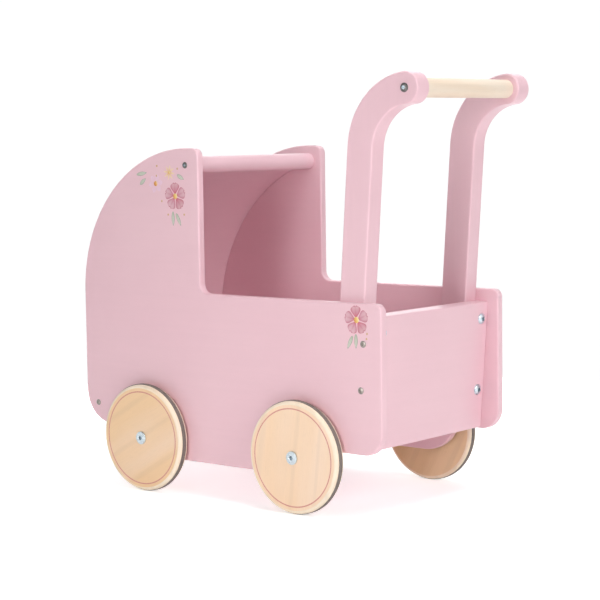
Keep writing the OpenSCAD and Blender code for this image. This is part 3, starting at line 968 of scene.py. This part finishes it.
def build_fasteners():
    """Bolts, spacers, washers and nuts of the wheels, then all other screws, bolts and nuts."""
    head_x = disc_hi.x + END_PLAY
    shape = screw_shape(AXLE_HEAD, AXLE_D, head_x - inner_x + AXLE_BOLT_PAST, hexagon(5 * MM))
    build_group("axle_bolts", shape, at_axles(head_x), bright_zinc, (0.2, 0.9, 0.5, 0.1), shaded_zinc)
    build_group("wheel_spacers", washer_shape(SPACER_R, SPACER_T), at_axles(outer_x), bright_zinc)
    washer_x = inner_x - WASHER_T
    build_group("axle_washers", washer_shape(WASHER_R, WASHER_T), at_axles(washer_x), bright_zinc)
    build_group("axle_lock_nuts", nut_shape(), at_axles(washer_x - NUT_H), bright_zinc, (0.3, 0.0, 0.7))

    depth = outer_x - inner_x + SCREW_DEPTH
    shape = screw_shape(DOWEL_SCREW_HEAD, SCREW_D, depth, hexagon(3 * MM))
    places = both_sides(outer_x, dowel_y, dowel_z)
    # Dark heads with lighter recesses: the dark head is painted shade standing for the dark ring round the
    # head.
    build_group("hood_dowel_screws", shape, places, dark_zinc, (0.3, 1.1), shaded_zinc)
    shape = screw_shape(RAIL_SCREW_HEAD, SCREW_D, depth, cross(*CROSS))
    places = both_sides(outer_x, rail_y, rail_z)
    build_group("front_rail_screws", shape, places, dull_zinc, (0.3, 1.1))
    shape = screw_shape(SIDE_SCREW_HEAD, SCREW_D, depth, cross(*CROSS))
    places = [m for z in SIDE_SCREW_Z for m in both_sides(outer_x, rear_mid_y(z), z)]
    build_group("rear_panel_side_screws", shape, places, dull_zinc, (0.3, 1.1, 0.6))

    shape = screw_shape(REAR_BOLT_HEAD, BOLT_D, REAR_T + ARM_W / 2 + BOLT_D, hexagon(5 * MM))
    places = [rear_frame(x, z) for z in REAR_BOLT_Z for x in (-rear_bolt_x, rear_bolt_x)]
    build_group("rear_panel_bolts", shape, places, bright_zinc, (0.4, 0.2, 0.8), shaded_zinc)
    shape = screw_shape(BAR_BOLT_HEAD, BOLT_D, inner_x - arm_lo.x + BAR_BORE, hexagon(4.4 * MM))
    places = both_sides(inner_x, bar_at.y, bar_at.z)
    # Bright zinc on the recess faces is a painted highlight: a light centre in the dark head.
    build_group("handle_bar_bolts", shape, places, dark_zinc, (0.2, 0.5), bright_zinc)

    nut_x = inner_x - BARREL_INSET - BARREL_LEN
    places = [m for z in REAR_BOLT_Z for m in both_sides(nut_x, *barrel_place(z))]
    build_group("arm_barrel_nuts", barrel_shape(), places, bright_zinc)


# ---------------- printed flowers

ROSE = (srgb(205, 66, 96), srgb(212, 148, 160), srgb(222, 178, 186))
ROSE_PALE = (srgb(202, 84, 108), srgb(217, 166, 178), srgb(227, 184, 194))
ROSE_LINE = srgb(194, 96, 118)
GOLD = (srgb(218, 138, 66), srgb(238, 204, 116), srgb(250, 240, 186))
DAISY = (srgb(224, 178, 116), srgb(241, 208, 166), srgb(246, 218, 192))
LILAC = (srgb(238, 200, 210), srgb(238, 199, 215), srgb(240, 205, 222))
AMBER = (srgb(204, 124, 48), srgb(228, 160, 72), srgb(250, 236, 206))
LEAF = (srgb(176, 182, 160), srgb(212, 212, 196), srgb(206, 208, 192))
LEAF_LINE = srgb(114, 130, 108)
DOT = (srgb(206, 160, 116), srgb(218, 174, 128), srgb(226, 188, 146))
LEAF_W = 4.6 * MM


def blend(a, b, t):
    return tuple(x + (y - x) * t for x, y in zip(a, b))


def tint(colours, t):
    """Blend along three colours as t goes from 0 to 1."""
    t = min(1.0, max(0.0, t)) * 2
    return blend(colours[0], colours[1], t) if t < 1 else blend(colours[1], colours[2], t - 1)


class Print:
    """Thin raised shapes on the left side panel's outer face, each a closed mesh with its own colours."""

    BACK = 0.02 * MM

    def __init__(self):
        self.verts, self.faces, self.colours = [], [], []

    def blob(self, rows, thick, colour):
        """A closed patch from rows of (y, z, u, v), thickest in its middle; colour gives its ink."""
        base, count = len(self.verts), len(rows[0])
        front = [p for row in rows for p in row]
        for layer in (1, 0):
            for y, z, u, v in front:
                edge = max(0.0, (1 - (2 * u - 1) ** 2) * (1 - v * v)) ** 0.5
                x = outer_x + thick * (0.35 + 0.65 * edge) if layer else outer_x - self.BACK
                self.verts.append((x, y, z))
                self.colours.append((*colour(u, v), 1))

        def face(*corners):
            """A face from corners of (layer, row, column); layer 1 is the front and 0 the back."""
            spots = [base + (0 if layer else len(front)) + i * count + j for layer, i, j in corners]
            self.faces.append(tuple(spots))

        last = len(rows) - 1
        for i in range(last):
            for j in range(count - 1):
                for layer in (1, 0):
                    face((layer, i, j), (layer, i, j + 1), (layer, i + 1, j + 1), (layer, i + 1, j))
            for j in (0, count - 1):
                face((1, i, j), (1, i + 1, j), (0, i + 1, j), (0, i, j))
        for i in (0, last):
            for j in range(count - 1):
                face((1, i, j), (1, i, j + 1), (0, i, j + 1), (0, i, j))

    def petal(self, y, z, angle, start, length, width, colours, line=None, notch=0.0, point=0.9):
        """A petal or leaf from start to length out of (y, z); line is the ink of its outline and veins."""
        along = Vector((cos(angle), sin(angle)))
        across = Vector((-along.y, along.x))
        rows = []
        for i in range(21):
            u = i / 20
            half = width / 2 * sin(pi * (0.05 + 0.9 * u) ** point) ** 0.75
            row = []
            for j in range(17):
                v = j / 8 - 1
                reach = start + (length - start) * u * (1 - notch * u**3 * exp(-((v / 0.35) ** 2)))
                reach -= (length - start) * 0.08 * u**4 * v * v
                spot = Vector((y, z)) + along * reach + across * (half * v)
                row.append((spot.x, spot.y, u, v))
            rows.append(row)

        def ink(u, v):
            body = tint(colours, u**0.8)
            if line is None:
                return body
            rim = min(1.0, max(0.0, max(abs(v), 2 * u - 1) - 0.7) / 0.22)
            vein = 0.4 * max(0.0, cos(v * 8.5)) * max(0.0, 1 - 1.6 * abs(u - 0.45))
            return blend(body, line, max(0.75 * rim, vein))

        self.blob(rows, 0.16 * MM, ink)

    def spot(self, y, z, r, colours, thick=0.22 * MM):
        """Round dot, brighter towards the rear; its first and last rows keep a little length."""
        rows = []
        for i in range(9):
            u = i / 8
            off = (2 * u - 1) * 0.985
            half = r * sin(acos(max(-1, min(1, off))))
            rows.append([(y + off * r, z + half * (j / 4 - 1), u, j / 4 - 1) for j in range(9)])
        self.blob(rows, thick, lambda u, v: tint(colours, 0.85 * u + 0.12 * v))

    def flower(self, y, z, r, kinds, width, line, heart, first=90.0, heart_r=0.2, notch=0.0, point=0.95):
        """Petals all round, each in the colours that kinds gives for it, and a raised heart."""
        for k, colours in enumerate(kinds):
            angle = radians(first + 360 * k / len(kinds))
            length = r * (0.96 + 0.05 * ((k * 3) % len(kinds)) / len(kinds))
            self.petal(y, z, angle, 0.13 * r, length, width * r, colours, line, notch, point)
        self.spot(y, z, heart_r * r, heart, 0.34 * MM)

    def leaves(self, y, z, rows):
        """Leaves from (y, z, direction in degrees, length) in millimetres from the given point."""
        for dy, dz, angle, length in rows:
            at = (y + dy * MM, z + dz * MM, radians(angle))
            self.petal(*at, 0, length * MM, LEAF_W, LEAF, LEAF_LINE)

    def dots(self, y, z, r, places):
        for dy, dz in places:
            self.spot(y + dy * MM, z + dz * MM, r, DOT)

    def object(self, name, flip):
        """The whole print as one object, mirrored for the right side panel if flip is set."""
        sign = -1 if flip else 1
        obj = new_object(name, [(sign * x, y, z) for x, y, z in self.verts], self.faces)
        layer = obj.data.color_attributes.new("ink", "FLOAT_COLOR", "POINT")
        layer.data.foreach_set("color", [c for colour in self.colours for c in colour])
        return obj


def build_prints():
    """Flower sprays below the hood dowel's screw and above the rear panel's upper screw, on both sides."""
    p = Print()
    rose = {"kinds": [ROSE, ROSE_PALE, ROSE_PALE, ROSE, ROSE_PALE], "width": 0.8, "line": ROSE_LINE}
    rose.update({"heart": GOLD, "notch": 0.12, "point": 1.6})
    y, z = dowel_y, dowel_z
    p.flower(y - 16.5 * MM, z - 36.2 * MM, 17.3 * MM, first=92, heart_r=0.19, **rose)
    p.flower(y - 47.7 * MM, z - 21.6 * MM, 11.6 * MM, [LILAC] * 6, 0.56, None, AMBER, 70, 0.26, point=1.2)
    p.flower(y - 25.6 * MM, z - 8.6 * MM, 9 * MM, [DAISY] * 8, 0.26, None, GOLD, 80, 0.16)
    p.leaves(y, z, (
        (-78.5, -11.2, 8, 16.4),
        (-73.2, -22.8, 38, 11.6),
        (-13.0, -11.2, -27, 11.8),
        (-20.6, -54.2, -89, 16.4),
        (-15.4, -56.2, -63, 16),
    ))
    p.dots(y, z, 1.3 * MM, (
        (-45.3, -0.9), (-12.4, -4.1), (-38.2, -42.1),
        (-28.3, -57.8), (-2.6, -57.4), (-46.1, -12.6),
    ))

    z = SIDE_SCREW_Z[0]
    y = rear_mid_y(z)
    p.flower(y - 8.9 * MM, z + 25.9 * MM, 17.1 * MM, first=95, heart_r=0.2, **rose)
    p.leaves(y, z, ((-14.6, 8, -116, 15.6), (-9.8, 10.4, -90, 15.6)))
    p.dots(y, z, 1.2 * MM, ((5.5, 11.6), (4.7, 6)))
    ink = print_ink()
    for name, flip in (("printed_flowers_left", False), ("printed_flowers_right", True)):
        piece(p.object(name, flip), ink, "body", [], sharp=50)


# ---------------- camera, light and floor


def build_camera():
    """Camera beside the handle end, looking forwards and a little down, as fitted to the photo's edges."""
    yaw, pitch, roll = 0.69434396, 0.0917634, -0.0138475
    level_x, level_y = cos(yaw), sin(yaw)
    ahead = Vector((-level_x * cos(pitch), -level_y * cos(pitch), -sin(pitch)))
    level = Vector((-level_y, level_x, 0))
    upright = level.cross(ahead)
    right = level * cos(roll) + upright * sin(roll)
    up = upright * cos(roll) - level * sin(roll)
    data = bpy.data.cameras.new("camera")
    data.sensor_width, data.lens = 36, 109.98
    data.clip_start, data.clip_end = 0.05, 60
    camera = put_in_scene("camera", data)
    axes = Matrix((right, up, -ahead)).transposed().to_4x4()
    camera.matrix_world = Matrix.Translation((1.6705, 1.3869, 0.4246)) @ axes
    bpy.context.scene.camera = camera


def area_light(name, place, target, size, watts):
    """Round soft lamp at a place, aimed at the target."""
    data = bpy.data.lights.new(name, "AREA")
    data.shape, data.size, data.energy = "DISK", size, watts
    light = put_in_scene(name, data)
    light.location = place
    light.rotation_euler = (Vector(target) - Vector(place)).to_track_quat("-Z", "Y").to_euler()


def stage_mesh(name, rings, material):
    """A surface of the studio, which isn't part of the stroller."""
    verts, faces = skin(rings)
    mesh = bpy.data.meshes.new(name)
    mesh.from_pydata(verts, [], faces)
    mesh.shade_smooth()
    mesh.materials.append(material)
    obj = put_in_scene(name, mesh)
    return obj


def around(r, z, count=64):
    """Points of a level circle about the Z axis."""
    angles = np.linspace(0, 2 * pi, count, endpoint=False)
    return [(r * cos(a), r * sin(a), z) for a in angles]


def build_floor_disc():
    """White floor under the stroller; it glows a little towards its rim, where the lamps don't reach."""
    look = Look("floor_white")
    coords = look.add("TexCoord", {}, "Object")
    away = look.add("VectorMath", {0: coords}, "Value", operation="LENGTH")
    reach = {"Value": away, "From Min": 0.35, "From Max": 0.95, "To Min": 0.17, "To Max": 0.85}
    material = look.finish(
        base_color=look.ramp(look.noise(coords, 3), (0.3, 0.94), (0.7, 0.96)),
        emission_strength=look.add("MapRange", reach, "Result"),
        emission_color=WHITE,
        roughness=0.8,
    )
    stage_mesh("floor", [[(0, 0, 0)], around(FLOOR_REACH, 0)], material)


def build_floor_veil():
    """Faint white glow over the floor that only the camera sees; it keeps the shadows light."""
    look = Look("floor_veil")
    clear = look.add("BsdfTransparent", {}, "BSDF")
    glow = look.add("Emission", {"Strength": VEIL_GLOW}, "Emission")
    both = look.add("AddShader", {0: clear, 1: glow}, "Shader")
    look.put(look.tree.nodes["Material Output"].inputs["Surface"], both)
    look.tree.nodes.remove(look.shader)
    veil = stage_mesh("floor_veil", [[(0, 0, VEIL_Z)], around(FLOOR_REACH, VEIL_Z)], look.material)
    veil.visible_diffuse = False
    veil.visible_glossy = False
    veil.visible_transmission = False
    veil.visible_shadow = False


def build_backdrop():
    """White floor further out and a white wall round it, which light no matt surface and cast no shadow."""
    look = Look("backdrop_white")
    look.shader.inputs["Specular IOR Level"].default_value = 0.0
    material = look.finish(base_color=(0, 0, 0, 1), emission_color=WHITE, emission_strength=1.02)
    rings = [around(FLOOR_REACH, 0), around(WALL_R, 0), around(WALL_R, WALL_H)]
    wall = stage_mesh("backdrop", rings, material)
    wall.visible_diffuse = False
    wall.visible_shadow = False


def build_studio():
    """White studio with soft lamps behind the handle, overhead, on the left, on the right and in front."""
    world = bpy.data.worlds.new("studio")
    bpy.context.scene.world = world
    world.use_nodes = True
    background = world.node_tree.nodes["Background"]
    background.inputs["Color"].default_value = WHITE
    background.inputs["Strength"].default_value = 0.04
    area_light("rear", (0.3, 1.5, 0.8), MIDDLE, 0.8, 10.8)
    area_light("left", (1.2, 0.2, 0.45), MIDDLE, 0.3, 2.5)
    area_light("left_high", (0.9, 0.15, 0.8), MIDDLE, 0.3, 1.1)
    area_light("left_low", (1.2, 0.35, 0.3), MIDDLE, 0.3, 1.35)
    area_light("top", (0.0, 0.3, 1.5), MIDDLE, 0.7, 8.3)
    area_light("top_front", (0.1, -0.2, 1.6), (0, 0, 0.2), 1.0, 2.6)
    area_light("right_front", (-1.1, -0.9, 0.7), MIDDLE, 2.0, 9.0)
    area_light("front", (-0.5, -1.6, 0.6), MIDDLE, 1.0, 5.0)
    build_floor_disc()
    build_floor_veil()
    build_backdrop()
    settings = bpy.context.scene.view_settings
    settings.view_transform = "Standard"
    settings.look = "None"


# ---------------- assembly

rubber = rubber_material()
nylon = nylon_material()
ring_material = ring_paint()
bright_zinc = zinc_material("bright_zinc", (0.66, 0.74, 0.79), (0.5, 0.58, 0.63), 0.2, 0.36)
dull_zinc = zinc_material("dull_zinc", (0.4, 0.365, 0.33), (0.27, 0.245, 0.22), 0.34, 0.48)
# Dark zinc for the heads of the hood dowel screws and handle bar bolts: painted shade for the dark ring
# seen round these heads.
dark_zinc = zinc_material("dark_zinc", (0.17, 0.165, 0.16), (0.09, 0.085, 0.082), 0.3, 0.42)
# Darker bluish zinc on the recess faces of the screws and bolts: painted shade in the recesses.
shaded_zinc = zinc_material("shaded_zinc", (0.34, 0.4, 0.45), (0.22, 0.27, 0.31), 0.25, 0.4)

PEACH, HONEY, TAN = srgb(252, 223, 196), srgb(250, 216, 180), srgb(240, 200, 154)
# Paler wood for the wheels' rounded edges: partly sanded end grain, partly a painted highlight where light
# catches the rounding.
EDGE_HIGHLIGHT_PALE, EDGE_HIGHLIGHT_DEEP = srgb(250, 234, 212), srgb(248, 226, 198)
edge_highlight_wood = bare_wood("sanded_edge", EDGE_HIGHLIGHT_PALE, EDGE_HIGHLIGHT_DEEP, (1.2, 0, 0), (0.5, 0.2, 0.4))
build_side_panels()
build_cross_dowel("hood_dowel_wood", "hood_dowel", dowel_y, dowel_z)
build_cross_dowel("front_rail_wood", "front_rail", rail_y, rail_z)
build_sheet()
build_floor()
build_rear_panel()
build_arms()
build_handle_bar()
for where, pale, deep, turn, offset in (
    ("front_left", srgb(249, 220, 194), srgb(245, 208, 164), -0.5, (0.0, 0.1, 0.0)),
    ("rear_left", PEACH, HONEY, -1.45, (0.2, 0.3, 0.1)),
    ("front_right", PEACH, TAN, 0.4, (0.4, 0.2, 0.3)),
    # The rear right wheel's tanner wood is painted shade for its inner face, which lies under the body.
    ("rear_right", srgb(240, 210, 168), srgb(222, 186, 138), -1.1, (0.6, 0.5, 0.2)),
):
    build_wheel(where, bare_wood("wood_" + where, pale, deep, (turn, 0, 0), offset))
build_fasteners()
build_prints()
build_camera()
build_studio()
